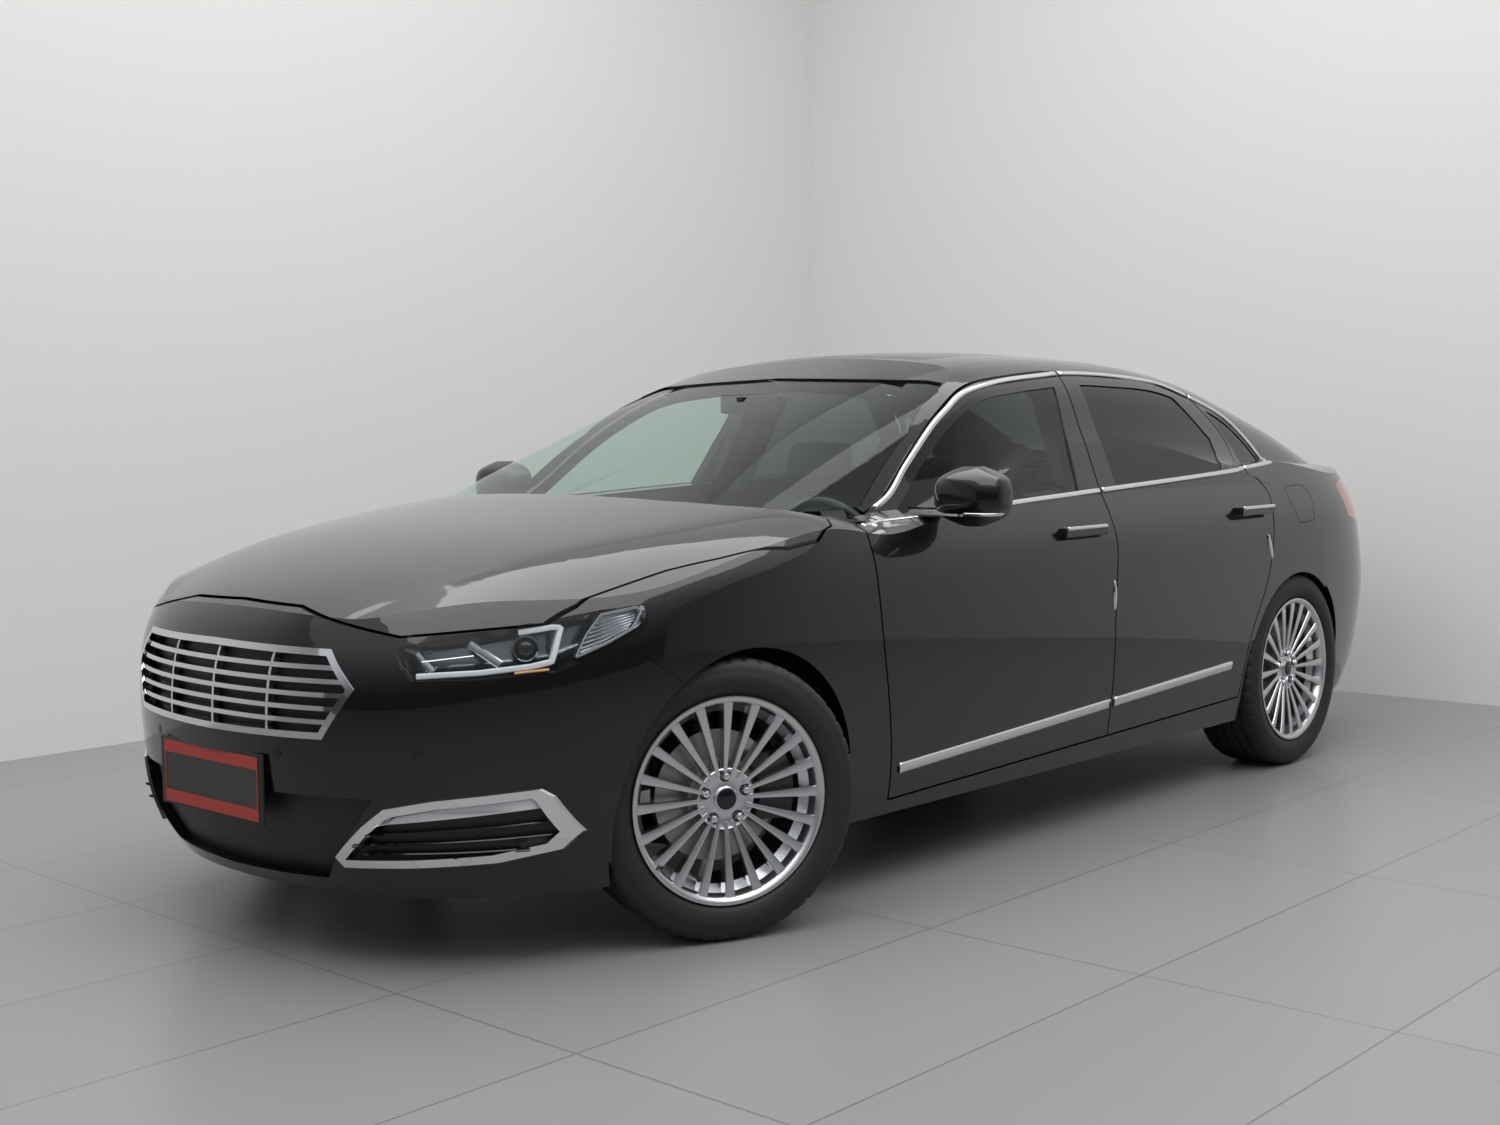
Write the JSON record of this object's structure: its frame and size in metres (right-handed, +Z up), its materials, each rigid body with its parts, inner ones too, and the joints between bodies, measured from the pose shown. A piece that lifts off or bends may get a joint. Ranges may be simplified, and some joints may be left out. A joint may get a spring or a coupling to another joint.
{
  "type": "sedan car",
  "caption": "Four-door family sedan with opening doors, hood and trunk lid, steering front wheels and a hollow cabin.",
  "frame": {"origin": "On the ground at the middle of the car's length and width.", "axes": "+X points forward along the car, +Y to the car's left, +Z up."},
  "size_m": [4.9962, 2.2012, 1.5026],
  "materials": {
    "paint": "gloss black",
    "dark_plastic": "matte",
    "chrome": "polished",
    "clear_lamp": "clear",
    "red_lamp": "gloss",
    "screen_glass": "clear green",
    "dark_glass": "dark tint",
    "side_glass": "clear green",
    "tyre": "matte",
    "alloy": "satin",
    "steel": "satin",
    "iron": "rough",
    "liner": "matte",
    "leather": "matte",
    "plate_blank": "matte"
  },
  "bodies": {
    "body": {"body_side_left": "paint", "fender_left": "paint", "body_side_right": "paint", "fender_right": "paint", "roof_panel": "paint", "windscreen": "screen_glass", "rear_window": "dark_glass", "quarter_windows": "dark_glass", "front_bumper": "paint", "grille": "chrome", "intake_mesh": "dark_plastic", "headlamps": "clear_lamp", "fog_trims": "chrome", "front_plate": "plate_blank", "rear_bumper": "paint", "tail_lamps": "red_lamp", "cowl": "dark_plastic", "firewall": "steel", "floor_pan": "steel", "parcel_shelf": "dark_plastic", "wheel_liners": "liner", "engine_block": "iron", "exhaust": "steel", "front_suspension": "iron", "rear_suspension": "iron", "dashboard": "dark_plastic", "front_seats": "leather", "rear_bench": "leather", "wipers": "dark_plastic"},
    "front_door_left": {"door_front_left": "paint", "glass_front_left": "side_glass", "mirror_left": "paint"},
    "rear_door_left": {"door_rear_left": "paint", "glass_rear_left": "dark_glass"},
    "front_knuckle_left": {"knuckle_left": "iron"},
    "front_wheel_left": {"tyre_front_left": "tyre", "wheel_front_left": "alloy"},
    "rear_wheel_left": {"tyre_rear_left": "tyre", "wheel_rear_left": "alloy"},
    "front_door_right": {"door_front_right": "paint", "glass_front_right": "side_glass", "mirror_right": "paint"},
    "rear_door_right": {"door_rear_right": "paint", "glass_rear_right": "dark_glass"},
    "front_knuckle_right": {"knuckle_right": "iron"},
    "front_wheel_right": {"tyre_front_right": "tyre", "wheel_front_right": "alloy"},
    "rear_wheel_right": {"tyre_rear_right": "tyre", "wheel_rear_right": "alloy"},
    "hood_lid": {"hood": "paint"},
    "trunk": {"trunk_lid": "paint"},
    "steering": {"steering_wheel": "dark_plastic"}
  },
  "joints": [
    {"name": "front_door_left_hinge", "type": "hinge", "parent": "body", "child": "front_door_left", "pos_m": [1.062, 0.941, 0.7], "axis": [0, 0, -1], "range_deg": [0, 65]},
    {"name": "rear_door_left_hinge", "type": "hinge", "parent": "body", "child": "rear_door_left", "pos_m": [-0.12, 0.941, 0.7], "axis": [0, 0, -1], "range_deg": [0, 68]},
    {"name": "front_door_right_hinge", "type": "hinge", "parent": "body", "child": "front_door_right", "pos_m": [1.062, -0.941, 0.7], "axis": [0, 0, 1], "range_deg": [0, 65]},
    {"name": "rear_door_right_hinge", "type": "hinge", "parent": "body", "child": "rear_door_right", "pos_m": [-0.12, -0.941, 0.7], "axis": [0, 0, 1], "range_deg": [0, 68]},
    {"name": "hood_hinge", "type": "hinge", "parent": "body", "child": "hood_lid", "pos_m": [1.13, 0, 1.047], "axis": [0, -1, 0], "range_deg": [0, 55]},
    {"name": "trunk_hinge", "type": "hinge", "parent": "body", "child": "trunk", "pos_m": [-2.079, 0, 1.124], "axis": [0, 1, 0], "range_deg": [0, 80]},
    {"name": "steer_left", "type": "hinge", "parent": "body", "child": "front_knuckle_left", "pos_m": [1.543, 0.735, 0.3515], "axis": [0, 0, 1], "range_deg": [-12.8, 57.2]},
    {"name": "steer_right", "type": "hinge", "parent": "body", "child": "front_knuckle_right", "pos_m": [1.543, -0.735, 0.3515], "axis": [0, 0, 1], "range_deg": [-12.8, 57.2]},
    {"name": "steering_wheel_turn", "type": "hinge", "parent": "body", "child": "steering", "pos_m": [0.56, 0.37, 0.862], "axis": [-0.9135, 0, 0.4067], "range_deg": [-180, 800]},
    {"name": "front_wheel_left_spin", "type": "hinge", "parent": "front_knuckle_left", "child": "front_wheel_left", "pos_m": [1.56869, 0.79796, 0.3515], "axis": [0.3778, 0.9259, 0], "continuous": true},
    {"name": "rear_wheel_left_spin", "type": "hinge", "parent": "body", "child": "rear_wheel_left", "pos_m": [-1.406, 0.803, 0.3515], "axis": [0, 1, 0], "continuous": true},
    {"name": "front_wheel_right_spin", "type": "hinge", "parent": "front_knuckle_right", "child": "front_wheel_right", "pos_m": [1.51731, -0.79796, 0.3515], "axis": [0.3778, 0.9259, 0], "continuous": true},
    {"name": "rear_wheel_right_spin", "type": "hinge", "parent": "body", "child": "rear_wheel_right", "pos_m": [-1.406, -0.803, 0.3515], "axis": [0, 1, 0], "continuous": true}
  ],
  "couplings": [
    {"joint": "steer_right", "follows": "steer_left", "ratio": 1},
    {"joint": "steering_wheel_turn", "follows": "steer_left", "ratio": 13.9}
  ]
}
